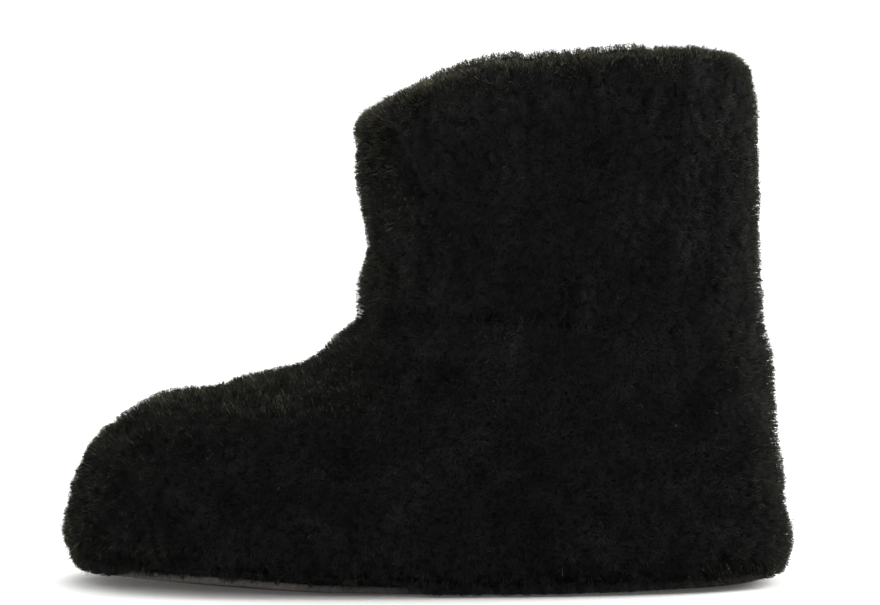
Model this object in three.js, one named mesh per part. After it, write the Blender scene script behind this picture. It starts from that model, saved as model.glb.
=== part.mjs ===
// A sheepskin slipper boot for the left foot, sewn wool side out on a soft leather sole.
// Units are millimetres. +Z is up, the toe points to -X and the outer side of the foot to -Y.
// The origin is on the floor, under the middle of the slipper.
import * as THREE from "three";

// Driving dimensions
const HIDE = 2; // tanned skin
const PILE = 9; // clipped wool standing on the skin
const WALL = HIDE + PILE;
const SOLE_THICKNESS = 3;
const INSOLE_THICKNESS = 5;
const SEAT = 0.3; // clearance where two pieces meet
const OVERHANG = 1.5; // the wool reaches past the sole's edge by this much
const TOE_SPRING = 5; // height of the sole's toe end above the floor
const TOE_LIFT_X = -40; // the sole leaves the floor here, under the ball of the foot
const HEEL_SPRING = 1.5; // height of the sole's heel end above the floor
const HEEL_LIFT_X = 112; // the sole leaves the floor here, at the back of the heel
const TURN_REACH = 18; // width of the sole's turned-up margin
const TURN_LEAST = 0.8; // turn-up of the sole's edge at the waist
const TURN_MOST = 3.2; // and at the ball and the heel
const TURN_RUN = 100; // distance along the foot over which it grows
const TOE_SWING = 7; // the toe end leans this far to the inner side of the foot
const WAIST_HOLLOW = 7; // the inner side draws in this far beside the arch
const WAIST_X = 30; // the arch, along the foot
const WAIST_REACH = 40; // half length of that hollow
const HEEL_SQUARE = 0.8; // the heel end is squarer than the toe end by this exponent
const HEEL_TAPER = 0.15; // and narrower by this share
const SEAM_DRAW = 1.2; // the ankle seam pulls the wool in by this much
const SEAM_REACH = 8; // and over this distance
const COLLAR_RISE = 9; // height over which the wool rounds over to the collar's edge
const LOCK_RISE = 2; // height of the fullest lock of wool
const LOCK_SPREAD = 0.8; // how much the locks differ in height
const LOCK_ROOT = 0.45; // fullness of a lock at its root, as a share of its tip's
const PARTING_DEPTH = 0.8; // depth of the deepest parting between two locks
const COLLAR_LOCKS = 0.3; // the locks lie flatter by this share where they round over the collar
const SOLE_BEVEL = 0.6; // trimmed corners of the sole's edge
const INSOLE_ROUND = 1.2; // rounded corners of the footbed's edge

// Points round each section, and steps along each wall
const COLUMNS = 80;
const FOOT_STEPS = 24;
const FOOT_LINING_STEPS = 8;
const SHAFT_STEPS = 12;
const SHAFT_LINING_STEPS = 4;
const COLLAR_STEPS = 3;

// The tread's inner rings, as shares of the flat tread's outline. The smallest is all on the floor.
const TREAD_MIDDLE = 0.32;
const TREAD_FOREPART = 0.66;

// Shares of the foot's run over which its lining turns from level, at the sole and at the ankle seam, to square.
const SOLE_BLEND = 0.25;
const ANKLE_BLEND = 0.15;

// Girth sections of the foot, from the sole's edge up to the ankle seam. Each is a tilted ring.
//   toeX, toeZ and heelX, heelZ   its two ends on the centreline
//   half     half its width at the widest place
//   widest   that place, as a share of the length from the toe
//   blunt    roundness of the ends: 2 is an ellipse, more is squarer
//   rise     how early its height changes from the toe's to the heel's: 1 is evenly
const FOOT = [
  { toeX: -138, toeZ: 9.5, heelX: 141, heelZ: 5.5, half: 46, widest: 0.36, blunt: 2.4, rise: 2 },
  { toeX: -145, toeZ: 22, heelX: 144, heelZ: 15, half: 53, widest: 0.36, blunt: 2.4, rise: 1 },
  { toeX: -138, toeZ: 49, heelX: 141.5, heelZ: 32, half: 52, widest: 0.37, blunt: 2.3, rise: 1 },
  { toeX: -117, toeZ: 69, heelX: 139, heelZ: 48, half: 49, widest: 0.4, blunt: 2.1, rise: 1 },
  { toeX: -81, toeZ: 78.5, heelX: 137, heelZ: 64, half: 47, widest: 0.44, blunt: 2, rise: 1 },
  { toeX: -47, toeZ: 87.5, heelX: 135.5, heelZ: 80, half: 47, widest: 0.48, blunt: 2, rise: 1 },
  { toeX: -30, toeZ: 99.5, heelX: 134.5, heelZ: 93, half: 48, widest: 0.5, blunt: 2.1, rise: 1 },
  { toeX: -25.5, toeZ: 112, heelX: 133, heelZ: 102, half: 49, widest: 0.5, blunt: 2.15, rise: 1 },
];
const ANKLE = FOOT[FOOT.length - 1];

// Girth sections of the shaft, from the ankle seam up to where the collar starts to round over.
const SHAFT = [
  { ...ANKLE, toeZ: ANKLE.toeZ + SEAT, heelZ: ANKLE.heelZ + SEAT },
  { toeX: -23.5, toeZ: 134, heelX: 131.5, heelZ: 130, half: 50.5, widest: 0.5, blunt: 2.2, rise: 1.3 },
  { toeX: -26, toeZ: 157, heelX: 131, heelZ: 160, half: 53, widest: 0.5, blunt: 2.25, rise: 1.8 },
  { toeX: -28, toeZ: 180, heelX: 130.5, heelZ: 203, half: 54.5, widest: 0.5, blunt: 2.3, rise: 3 },
];

const WOOL = new THREE.MeshStandardMaterial({ color: 0x151514, roughness: 0.95, metalness: 0 });
const LEATHER = new THREE.MeshStandardMaterial({ color: 0x5a3a22, roughness: 0.7, metalness: 0 });
const FELT = new THREE.MeshStandardMaterial({ color: 0x2a2826, roughness: 1, metalness: 0 });

// A smooth run through a table of sections. at(share) is the section at that share of the toe line's length.
function sectionRun(table) {
  const track = (pick) => new THREE.CatmullRomCurve3(table.map((row) => new THREE.Vector3(...pick(row))));
  const toe = track((row) => [row.toeX, row.toeZ, 0]);
  const heel = track((row) => [row.heelX, row.heelZ, 0]);
  const girth = track((row) => [row.half, row.widest, row.blunt]);
  const slope = track((row) => [row.half, row.rise, 0]);
  const at = (share) => {
    const t = toe.getUtoTmapping(THREE.MathUtils.clamp(share, 0, 1));
    const [toeX, toeZ] = toe.getPoint(t);
    const [heelX, heelZ] = heel.getPoint(t);
    const [half, widest, blunt] = girth.getPoint(t);
    const rise = slope.getPoint(t).y;
    return { toeX, toeZ, heelX, heelZ, half, widest, blunt, rise };
  };
  return { at, length: toe.getLength() };
}

// A point of a section: two half superellipses that share the widest line, one to the toe and one to the heel.
// A low section also leans to the inner side at the toe and draws in beside the arch, as a left foot does.
function sectionPoint(section, angle) {
  const { toeX, toeZ, heelX, heelZ, half, widest, blunt, rise } = section;
  const along = Math.cos(angle);
  const across = Math.sin(angle);
  const middle = toeX + (heelX - toeX) * widest;
  const low = Math.max(0, 1 - heelZ / ANKLE.heelZ);
  const [end, power] = along > 0 ? [toeX, 2 / blunt] : [heelX, 2 / (blunt + HEEL_SQUARE * low)];
  const x = middle + (end - middle) * Math.abs(along) ** power;
  const forward = Math.max(0, (x - middle) / (toeX - middle));
  const backward = Math.max(0, (x - middle) / (heelX - middle));
  const lean = TOE_SWING * low * forward ** 2;
  const hollow = WAIST_HOLLOW * low * Math.max(0, across) * Math.exp(-(((x - WAIST_X) / WAIST_REACH) ** 2));
  const width = half * Math.abs(across) ** power * (1 - HEEL_TAPER * low * backward ** 2);
  const y = Math.sign(across) * width + lean - hollow;
  const left = Math.max(0, (heelX - x) / (heelX - toeX));
  const z = toeZ + (heelZ - toeZ) * (1 - left ** rise);
  return new THREE.Vector3(x, y, z);
}

// Level outward direction of a section.
function levelNormal(section, angle) {
  const step = 1e-3;
  const round = sectionPoint(section, angle + step).sub(sectionPoint(section, angle - step));
  return new THREE.Vector3(-round.y, round.x, 0).normalize();
}

// Outward direction of the form that a run of sections makes.
function formNormal(run, share, angle) {
  const step = 1e-3;
  const section = run.at(share);
  const round = sectionPoint(section, angle + step).sub(sectionPoint(section, angle - step));
  const up = sectionPoint(run.at(share + step), angle).sub(sectionPoint(run.at(share - step), angle));
  return up.cross(round).normalize();
}

// Height of a lock of wool at a point of a wall's net. The locks are staggered, each is two steps long with a
// height of its own, and it is fullest at its tip, down the nap. The points between two locks are partings.
function lockHeight(column, step) {
  const tier = Math.floor(step / 2);
  const wave = Math.sin(column * 12.9898 + tier * 78.233) * 43758.5453;
  const chance = wave - Math.floor(wave);
  const isLock = (column + tier) % 2 === 0;
  const fullness = step % 2 === 0 ? 1 : LOCK_ROOT;
  const lock = LOCK_RISE * fullness * (1 - LOCK_SPREAD * chance);
  return isLock ? lock : -PARTING_DEPTH * chance;
}

// Underside of the sole at a place along the foot and a distance in from its edge: flat on the floor from heel
// to ball, curving up to the toe and a little to the heel, with a margin that turns up less and less inwards.
function soleUnderside(x, inset) {
  const [heelEnd, toeEnd] = [FOOT[0].heelX, FOOT[0].toeX];
  const toe = Math.max(0, (x - TOE_LIFT_X) / (toeEnd - TOE_LIFT_X));
  const heel = Math.max(0, (x - HEEL_LIFT_X) / (heelEnd - HEEL_LIFT_X));
  const grown = Math.min(1, ((x - WAIST_X) / TURN_RUN) ** 2);
  const turn = TURN_LEAST + (TURN_MOST - TURN_LEAST) * grown;
  const margin = Math.max(0, 1 - Math.max(0, inset) / TURN_REACH);
  const ended = Math.max(0, 1 - toe ** 3);
  return TOE_SPRING * toe ** 1.2 + HEEL_SPRING * heel ** 2 + turn * ended * margin ** 2;
}

const angleOf = (column) => (2 * Math.PI * column) / COLUMNS;
const ring = (make) => Array.from({ length: COLUMNS }, (_, column) => make(angleOf(column), column));
const steps = (count) => Array.from({ length: count + 1 }, (_, step) => step / count);

// A ring at a distance in from the sole line, with its height from the sole below it.
function soleRing(inset, height, scale = 1) {
  return ring((angle) => {
    const point = sectionPoint(FOOT[0], angle).addScaledVector(levelNormal(FOOT[0], angle), -inset);
    point.x *= scale;
    point.y *= scale;
    point.z = soleUnderside(point.x, inset) + height;
    return point;
  });
}

// A closed surface through rings that run over the bottom, out and up, and back over the top.
// A wall's rings come round to the first one. A pad is closed by a point at each end.
function closedSurface(rings, isWall) {
  const points = rings.flat();
  const index = [];
  const at = (row, column) => (row % rings.length) * COLUMNS + (column % COLUMNS);
  const bands = isWall ? rings.length : rings.length - 1;
  for (let row = 0; row < bands; row += 1) {
    for (let column = 0; column < COLUMNS; column += 1) {
      const [low, high] = [at(row, column), at(row + 1, column)];
      const [lowNext, highNext] = [at(row, column + 1), at(row + 1, column + 1)];
      index.push(low, high, lowNext, lowNext, high, highNext);
    }
  }
  if (!isWall) {
    const last = rings.length - 1;
    const centre = (row) => rings[row].reduce((sum, p) => sum.add(p), new THREE.Vector3()).divideScalar(COLUMNS);
    const bottom = points.push(centre(0)) - 1;
    const top = points.push(centre(last)) - 1;
    for (let column = 0; column < COLUMNS; column += 1) {
      index.push(bottom, at(0, column), at(0, column + 1));
      index.push(at(last, column), top, at(last, column + 1));
    }
  }
  const geometry = new THREE.BufferGeometry().setFromPoints(points);
  geometry.setIndex(index);
  geometry.computeVertexNormals();
  return geometry;
}

// Wool side of a wall: the form, raised by its locks and drawn in at the ankle seam.
function woolRing(run, share, step, seamShare, locked) {
  const section = run.at(share);
  const seam = ((share - seamShare) * run.length) / SEAM_REACH;
  const drawn = SEAM_DRAW * Math.exp(-(seam ** 2));
  return ring((angle, column) => {
    const raised = locked ? lockHeight(column, step) : 0;
    return sectionPoint(section, angle).addScaledVector(formNormal(run, share, angle), raised - drawn);
  });
}

// The foot part: wool outside, bare hide inside, open at the ankle and under the foot.
function upperGeometry() {
  const run = sectionRun(FOOT);
  const wool = steps(FOOT_STEPS).map((share, step) => {
    const locked = step > 0 && step < FOOT_STEPS;
    return step === 0 ? soleRing(0, SOLE_THICKNESS + SEAT) : woolRing(run, share, step, 1, locked);
  });
  const lining = steps(FOOT_LINING_STEPS).map((share) => {
    if (share === 0) return soleRing(WALL, SOLE_THICKNESS + SEAT);
    const section = run.at(share);
    const square = Math.min(1, share / SOLE_BLEND, (1 - share) / ANKLE_BLEND);
    return ring((angle) => {
      const inward = levelNormal(section, angle).lerp(formNormal(run, share, angle), square).normalize();
      return sectionPoint(section, angle).addScaledVector(inward, -WALL);
    });
  });
  return closedSurface([...wool, ...lining.reverse()], true);
}

// The ankle tube: wool outside, rounding over to the cut edge of the hide at the collar.
function shaftGeometry() {
  const run = sectionRun(SHAFT);
  const rim = run.at(1);
  const wool = steps(SHAFT_STEPS).map((share, step) => woolRing(run, share, step, 0, step > 0));
  const collar = steps(COLLAR_STEPS)
    .slice(1)
    .map((share, step) =>
      ring((angle, column) => {
        const turn = (share * Math.PI) / 2;
        const inward = (WALL - HIDE / 2) * (1 - Math.cos(turn));
        const point = sectionPoint(rim, angle).addScaledVector(levelNormal(rim, angle), -inward);
        point.z += COLLAR_RISE * Math.sin(turn) + COLLAR_LOCKS * lockHeight(column, step);
        return point;
      }),
    );
  const lining = steps(SHAFT_LINING_STEPS).map((share) => {
    const section = run.at(share);
    return ring((angle) => {
      const point = sectionPoint(section, angle).addScaledVector(levelNormal(section, angle), -WALL);
      point.z += share * (COLLAR_RISE - HIDE);
      return point;
    });
  });
  return closedSurface([...wool, ...collar, ...lining.reverse()], true);
}

// The leather sole: a flat tread under heel and ball, a turned-up margin and toe spring.
function outsoleGeometry() {
  const under = [
    soleRing(TURN_REACH, 0, TREAD_MIDDLE),
    soleRing(TURN_REACH, 0, TREAD_FOREPART),
    soleRing(TURN_REACH, 0),
    soleRing(TURN_REACH / 2, 0),
    soleRing(OVERHANG + SOLE_BEVEL, 0),
  ];
  const edge = [soleRing(OVERHANG, SOLE_BEVEL), soleRing(OVERHANG, SOLE_THICKNESS - SOLE_BEVEL)];
  const over = [
    soleRing(OVERHANG + SOLE_BEVEL, SOLE_THICKNESS),
    soleRing(TURN_REACH / 2, SOLE_THICKNESS),
    soleRing(TURN_REACH, SOLE_THICKNESS),
    soleRing(TURN_REACH, SOLE_THICKNESS, TREAD_MIDDLE),
  ];
  return closedSurface([...under, ...edge, ...over], false);
}

// The footbed, lying on the sole inside the foot part.
function insoleGeometry() {
  const edge = WALL + SEAT;
  const low = SOLE_THICKNESS + SEAT;
  const high = low + INSOLE_THICKNESS;
  const rings = [
    soleRing(TURN_REACH, low, TREAD_MIDDLE),
    soleRing(TURN_REACH, low),
    soleRing(edge + INSOLE_ROUND, low),
    soleRing(edge, low + INSOLE_ROUND),
    soleRing(edge, high - INSOLE_ROUND),
    soleRing(edge + INSOLE_ROUND, high),
    soleRing(TURN_REACH, high),
    soleRing(TURN_REACH, high, TREAD_MIDDLE),
  ];
  return closedSurface(rings, false);
}

function piece(name, geometry, material) {
  const mesh = new THREE.Mesh(geometry, material);
  mesh.name = name;
  return mesh;
}

const slipper = new THREE.Group();
slipper.add(piece("outsole", outsoleGeometry(), LEATHER));
slipper.add(piece("insole", insoleGeometry(), FELT));
slipper.add(piece("upper", upperGeometry(), WOOL));
slipper.add(piece("shaft", shaftGeometry(), WOOL));

export default slipper;
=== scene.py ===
"""Sheepskin slipper boot: its wool, hide, footbed and sole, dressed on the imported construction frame.

Tables and surface formulas are in millimetres, as the slipper is cut. Meshes are in metres.
The toe points to -X, the outer side of the foot to -Y, and the floor is z = 0.
"""

import math

import bpy
import numpy as np
from bpy.props import FloatProperty, FloatVectorProperty, IntProperty, PointerProperty, StringProperty
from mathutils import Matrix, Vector


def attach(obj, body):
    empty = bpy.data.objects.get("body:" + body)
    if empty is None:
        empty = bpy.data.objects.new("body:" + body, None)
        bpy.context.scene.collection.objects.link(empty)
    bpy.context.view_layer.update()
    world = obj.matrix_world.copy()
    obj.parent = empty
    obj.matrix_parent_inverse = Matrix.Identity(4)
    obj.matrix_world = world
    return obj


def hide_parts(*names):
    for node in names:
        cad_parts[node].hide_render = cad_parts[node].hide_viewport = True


bl_info = {
    "name": "Sheepskin slipper",
    "version": (1, 0, 0),
    "blender": (4, 5, 0),
    "location": "3D View > Sidebar > Slipper",
    "description": "Dresses a sheepskin slipper's frame with wool, hide, footbed and sole",
    "category": "Object",
}

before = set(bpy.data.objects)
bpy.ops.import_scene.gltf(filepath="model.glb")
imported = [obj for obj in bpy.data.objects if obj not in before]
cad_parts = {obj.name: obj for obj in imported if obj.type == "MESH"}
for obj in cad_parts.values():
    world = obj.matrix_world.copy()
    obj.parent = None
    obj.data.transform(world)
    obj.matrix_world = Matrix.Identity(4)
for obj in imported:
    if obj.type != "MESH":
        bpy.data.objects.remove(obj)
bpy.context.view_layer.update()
BODY = "root"
MM = 0.001
TAU = 2 * math.pi

# Wall and sole sizes, as in the construction
HIDE = 2.0
PILE = 9.0
WALL = HIDE + PILE
SOLE_THICKNESS = 3.0
INSOLE_THICKNESS = 5.0
SEAT = 0.3
OVERHANG = 1.5
TOE_SPRING = 5.0
TOE_CURVE = 1.2  # power of the curve up to the toe
TOE_LIFT_X = -40.0
HEEL_SPRING = 1.5
HEEL_LIFT_X = 112.0
TURN_REACH = 18.0
TURN_LEAST = 0.8
TURN_MOST = 3.2
TURN_RUN = 100.0
TOE_SWING = 7.0
WAIST_HOLLOW = 7.0
WAIST_X = 30.0
WAIST_REACH = 40.0
HEEL_SQUARE = 0.8
HEEL_TAPER = 0.15
SEAM_DRAW = 0.1
SEAM_REACH = 8.0
COLLAR_RISE = 9.0
LINING_TOP = COLLAR_RISE - HIDE - 1  # height of the lining over the shaft's last section
COLLAR_SPAN = 0.2  # the collar's rounding goes on for this share of the shaft's run
COLLAR_ONSET = 0.1  # and the wool closes up over this share of it
SEAT_SHARE = 0.05  # the foot settles onto the sole over this share of its run
SOLE_BEVEL = 0.6
SOLE_INSETS = (TURN_REACH, 14.0, 10.0, 6.5, 4.0)
PALE_EDGE_TOE = -60.0  # the sole's edge is paler from the toes to here, painted light from the floor along with scuffing, and waxed dark from the next x on
PALE_EDGE_END = 10.0
FOOTBED_BEND = 1.6
FACE_SCALES = (0.12, 0.3, 0.5, 0.7, 0.86)  # rings between the middle of a pad's face and its flat edge

# The wool's uneven surface
SEAM_CROSS = 5.0  # within this distance of the ankle seam the wool lies across it
NUB_SIZE = 7.0
NUB_RISE = 1.1
NUB_SEED = 7
LUMP_SIZE = 4.0
LUMP_RISE = 0.5
LUMP_SEED = 9
# Slow waves of the hide, columns: height, size, seed
WAVES = ((1.0, 26.0, 3), (0.7, 11.0, 5))
# Slow waves of the lining, which grow from its lowest edge
LINING_RISE = 0.5
LINING_SIZE = 18.0
LINING_SEED = 21
LINING_ONSET = 8
RIBBON_TURN = 0.15  # share of a ribbon's own facing in the normals that shade it

# Mesh steps: round each ring, up each wall and its lining, and round a pad's edge
COLUMNS = 192
FOOT_STEPS = 90
FOOT_LINING_STEPS = 36
SHAFT_STEPS = 64
SHAFT_LINING_STEPS = 28
EDGE_STEPS = 5
COLLAR_DENSER = 1.5
LINING_PASSES = 8  # of smoothing, so that the offset lining doesn't fold where the instep turns up
DIFFERENCE = 1e-3  # step for a slope of a form
LOWEST_SHARE = 0.002  # slopes are taken no lower than this
LEAST_SPAN = 1e-4  # knots nearer than this count as one
LATTICE_PRIMES = np.array([73856093, 19349663, 83492791])
SEED_PRIME = 2654435761
MIXING_PRIME = 1274126177

# Girth sections from the sole's edge to the ankle seam, and from there to the collar.
# Columns: toe x, toe z, heel x, heel z, half width, widest share, bluntness, rise
FOOT_SECTIONS = (
    (-138, 9.5, 141, 5.5, 46, 0.36, 2.4, 2),
    (-145, 22, 144, 15, 53, 0.36, 2.4, 1),
    (-138, 49, 141.5, 32, 52, 0.37, 2.3, 1),
    (-117, 69, 139, 48, 49, 0.4, 2.1, 1),
    (-81, 78.5, 137, 64, 47, 0.44, 2, 1),
    (-47, 87.5, 135.5, 80, 47, 0.48, 2, 1),
    (-30, 99.5, 134.5, 93, 48, 0.5, 2.1, 1),
    (-25.5, 112, 133, 102, 49, 0.5, 2.15, 1),
)
SHAFT_SECTIONS = (
    (-25.5, 112 + SEAT, 133, 102 + SEAT, 49, 0.5, 2.15, 1),
    (-23.5, 134, 131.5, 130, 50.5, 0.5, 2.2, 1.3),
    (-26, 157, 131, 160, 53, 0.5, 2.25, 1.8),
    (-28, 180, 130.5, 203, 54.5, 0.5, 2.3, 3),
)
SECTION_GROUPS = ((0, 1), (2, 3), (4, 5, 6), (4, 7))  # columns that share a curve
ANKLE_Z = FOOT_SECTIONS[-1][3]
PARTING_WIDTH = 8.0  # troughs narrower than this part the wool
PARTING_BARE = 3.8  # and where they are deeper than this, no wool grows

# Soft troughs and ridges in the wool, drawn on the side view from one (x, z) to another.
# Columns: from x, from z, to x, to z, depth (a ridge is negative), width, side.
# Side is -1 for the outer side, 1 for the inner side and 0 for both.
CREASES = (
    (-34, 107, 24, 111, 1.4, 6, 0),
    (24, 111, 60, 106, 0.6, 6, 0),
    (-30, 96, 30, 100, -1.6, 9, 0),
    (-15, 183, -3, 160, 4.2, 4, -1),
    (48, 118, 62, 96, 0.7, 7, -1),
    (-82, 84, -74, 64, 0.7, 8, 0),
    (-64, 83, -42, 93, -1.2, 14, 0),
    (-122, 66, -108, 74, 0.6, 10, 0),
    (-143, 4, -145, 15, -2.2, 8, 0),
    (-146, 28, -141, 45, 1.6, 9, 0),
    (20, 176, 28, 140, 0.9, 12, -1),
    (-33, 178, -29, 191, 3.2, 10, 0),
    (-26, 152, -25, 136, 1.4, 9, 0),
    (-25, 124, -27, 110, -1.4, 9, 0),
    (12, 199, 32, 207, -2.6, 8, 0),
    (62, 211, 106, 214, -1.2, 9, 0),
    (-22, 188, 38, 209, -1.6, 8, -1),
    (52, 210, 118, 214, -1.6, 8, -1),
    (136, 208, 122, 216, 3.0, 10, 0),
    (146, 8, 137, 92, -1.8, 14, 0),
    (132, 112, 132, 190, -0.3, 12, 0),
)

# Short wool: lengths in mm, turns in radians
LIE_TURN = 0.6  # slow noise lays broad patches of the wool one way
LIE_SIZE = 24.0
LIE_SEED = 31
NUB_TURN = 4.4  # nubs lean this much apart
FIBRE_TURN = 2.4  # and so do the fibres of a nub
ROOT_SINK = 0.4
NUB_LIFT = 1.6
FIBRE_LIFT = 0.6
FIBRE_LEVEL = 0.6  # the draw that gives a fibre its nub's height
COLLAR_CLIP = 0.9
PARTING_CLIP = 0.8  # a parting shortens the wool by this share of its depth
PARTING_CLOSE = 0.8
SHORTEST = 1.4
REACH_LEAST = 1.6
REACH_SPREAD = 3.0
NUB_REACH_LEAST = 0.4
CROSS_LEAST = 1.0
CROSS_SPREAD = 3.5
BEND = 1.2
WANDER = 2.0
COLLAR_WANDER = 3.0
MIDDLE_HEIGHT = 0.85  # share of the height, the reach and the crossing that a fibre's middle has
MIDDLE_REACH = 0.3
MIDDLE_CROSS = 0.4
TAPER = (1.0, 0.9, 0.0)  # share of the width at root, middle and tip
WIDTH_LEAST = 0.7  # a fibre's own share of the width goes from this up by WIDTH_SPREAD
WIDTH_SPREAD = 0.6
TIP_LEAST = 0.72  # and its tip's share of the height from this up by TIP_SPREAD
TIP_SPREAD = 0.26
DRAW_LEAST = 0.5  # share of the way to the nub's centre that tips are drawn
DRAW_SPREAD = 0.4
FLOOR_GAP = 0.3  # no fibre hangs lower than this, or than UNDERSIDE_PART of the sole's underside over it
UNDERSIDE_PART = 0.9
FACING_SCATTER = 0.9
# Shade of the short wool: its mean, and what patches, nubs, relief, partings and the collar add; relief,
# partings and the collar add painted shade
SHADE_MEAN = 0.45
SHADE_MOST = 0.9
# Columns: part of the shade, size, seed
SHADE_PATCHES = ((0.08, 16.0, 47), (0.28, 7.0, 53))
# relief paints shade on the wool: paler on its ridges, darker in its troughs
RELIEF_PAINTED_SHADE = 0.08
RELIEF_LOW = -2.5
RELIEF_HIGH = 2.0
# painted shade: fibres are darker in the partings, growing with the square of their depth
PARTING_PAINTED_SHADE = 0.05
# painted shade: the wool over the collar's top is darker, against the strong light from above
COLLAR_PAINTED_SHADE = 0.16
SHADE_NUB = 0.3
SHADE_FIBRE = 0.08

# Curls
CURL_KNOTS = 4
CURL_LENGTH = 1.5
CURL_LENGTH_SPREAD = 3.5
CURL_SWING = 5.0
CURL_SINK = 1.6  # depth of the root under the fluff, and least height of the arc
CURL_TOP = 1.8  # mean of the arcs' further height, which falls off as a long tail
CURL_TAIL = 0.94
CURL_WIDTH = 0.55
CURL_TIP_WIDTH = 0.5  # a curl narrows towards this share of its width before its pointed end
CURL_SCATTER = 0.6
CURL_SLOW = 0.25  # a curl's run slows towards its tip by this much
CURL_SIDE_TURN = 3.6  # radians of the wave to the side, and of the arc
CURL_ARC_TURN = 2.2
CURL_SHADE = 0.4
CURL_PALER = 0.5
CURL_PALE_POWER = 4  # the higher, the fewer pale curls
CURL_PARTING = PARTING_BARE / 3  # curls stop at shallower partings than short wool

# Fringe over the sole's edge. Leather shows between BARE_TOE and BARE_WAIST, on the outer side.
FRINGE_SHARE = 0.02
FRINGE_NUBS = 260
FRINGE_DROP = 0.5  # how far the lowest roots go past the sole's underside, and how much nubs differ
FRINGE_DROP_SPREAD = 0.8
FRINGE_ROOM_LEAST = 0.4
BARE_TOE = -130
BARE_TOE_RUN = 24
BARE_WAIST = 4
BARE_WAIST_RUN = 22
BARE_RISE = 4.6
FRINGE_STAND = 2.0  # how far the fringe stands out, and what nubs and fibres add and low roots take off
FRINGE_STAND_NUB = 1.2
FRINGE_STAND_OWN = 0.6
FRINGE_STAND_LOW = 0.8
FRINGE_ASIDE_NUB = 3.0
FRINGE_ASIDE_OWN = 2.4
FRINGE_HANG_LEAST = 0.3
FRINGE_HANG = 2.4
FRINGE_FREE = 0.7  # a tip may hang this much below the lowest root, and less where leather shows
FRINGE_FREE_BARE = 0.6
FRINGE_BEND = 0.8
FRINGE_TIP_LEAST = 0.7  # share of the stand that a tip has at least, and what fibres add
FRINGE_TIP_SPREAD = 0.3
# the fringe is paler than the wool above it: painted light where the overhanging wool shades it
FRINGE_SHADE_WITH_PAINTED_LIGHT = 0.55
FRINGE_SHADE_NUB = 0.5
FRINGE_SHADE_OWN = 0.2
TUCK = 0.8
TUCK_TOE = 3.0  # the fringe tucks in by this much more round the toe's tip
TUCK_TOE_X = -112
TUCK_TOE_RUN = 24

# Lip of wool inside the collar's edge
LIP_REACH = 0.09  # share of the shaft's run that it covers
LIP_CROWDING = 1.5  # the higher, the more of its roots lie near the edge
LIP_SINK = 0.6
LIP_MIDDLE_IN = 1.2  # how far inward a fibre's middle and its tip lie
LIP_MIDDLE_SPREAD = 0.8
LIP_TIP_IN = 1.6
LIP_TIP_SPREAD = 1.6
LIP_MIDDLE_RISE = 0.7  # share of the rise that the middle has
LIP_RISE = 0.6  # least rise of a fibre, which grows by LIP_RISE_SPREAD towards the edge
LIP_RISE_SPREAD = 1.8
LIP_ONSET = 0.08
LIP_WANDER = np.array([4.0, 4.0, 1.6])
# the lip is paler than the wool outside: painted light, as if lit through, inside the collar where shade
# falls
LIP_SHADE_WITH_PAINTED_LIGHT = 0.6
LIP_SHADE_SPREAD = 0.35

# The wool's pieces: the toe's ends and the heel's begins at these x
TOE_WOOL_END = -48
HEEL_WOOL_START = 48
FOOT_SEED = 11
SHAFT_SEED = 23

# Studio: metres and watts. Columns of the soft boxes: name, place, size, watts
FLOOR_HALF = 60.0
GLOW_NEAR = 0.12
GLOW_FAR = 0.7
# the floor glows this much even beside the slipper: painted light that lightens its shadow
GLOW_LEAST = 0.05
SKY_FRONT = 0.9
SKY_BACK = 1.5
SKY_FADE_FROM = -0.8  # between these the sky goes from front to back
SKY_FADE_TO = 0.6
SOFT_BOXES = (
    ("top_box", (-0.2, 0.3, 1.9), 1.4, 18.0),
    ("right_box", (1.5, 0.2, 0.9), 1.0, 36.0),
    ("left_box", (-1.4, -1.1, 0.5), 1.0, 3.2),
)
LIGHT_AIM = (0, 0, 0.1)
SENSOR_WIDTH = 36.0
CLIP_END = 50.0
WHITE = (1.0, 1.0, 1.0, 1.0)


def linear(hex_code):
    """sRGB hex to linear RGBA: each channel is undone by the sRGB curve."""
    srgb = [int(hex_code[i : i + 2], 16) / 255 for i in (1, 3, 5)]
    return tuple(c / 12.92 if c <= 0.04045 else ((c + 0.055) / 1.055) ** 2.4 for c in srgb) + (1.0,)


def smooth(value):
    """Goes from 0 to 1 with level ends as value goes from 0 to 1."""
    t = np.clip(value, 0, 1)
    return t * t * (3 - 2 * t)


def unit(vectors):
    return vectors / np.maximum(np.linalg.norm(vectors, axis=-1, keepdims=True), 1e-12)


def catmull(knots, t):
    """Centripetal Catmull-Rom through the rows of knots: a cubic on each span, whose end slopes come from the
    neighbouring spans, each weighed by the square root of its length. t goes from 0 to 1 over all spans."""
    padded = np.vstack([2 * knots[0] - knots[1], knots, 2 * knots[-1] - knots[-2]])
    place = np.clip(t, 0, 1) * (len(knots) - 1)
    span = np.minimum(place.astype(int), len(knots) - 2)
    s = (place - span)[..., None]
    a, b, c, d = (padded[span + i] for i in range(4))
    pairs = ((a, b), (b, c), (c, d))
    da, db, dc = (np.sqrt(np.linalg.norm(q - p, axis=-1, keepdims=True)) for p, q in pairs)
    db = np.where(db < LEAST_SPAN, 1.0, db)
    da = np.where(da < LEAST_SPAN, db, da)
    dc = np.where(dc < LEAST_SPAN, db, dc)
    start = db * ((b - a) / da - (c - a) / (da + db) + (c - b) / db)
    end = db * ((c - b) / db - (d - b) / (db + dc) + (d - c) / dc)
    return b + s * start + s**2 * (3 * (c - b) - 2 * start - end) + s**3 * (2 * (b - c) + start + end)


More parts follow.
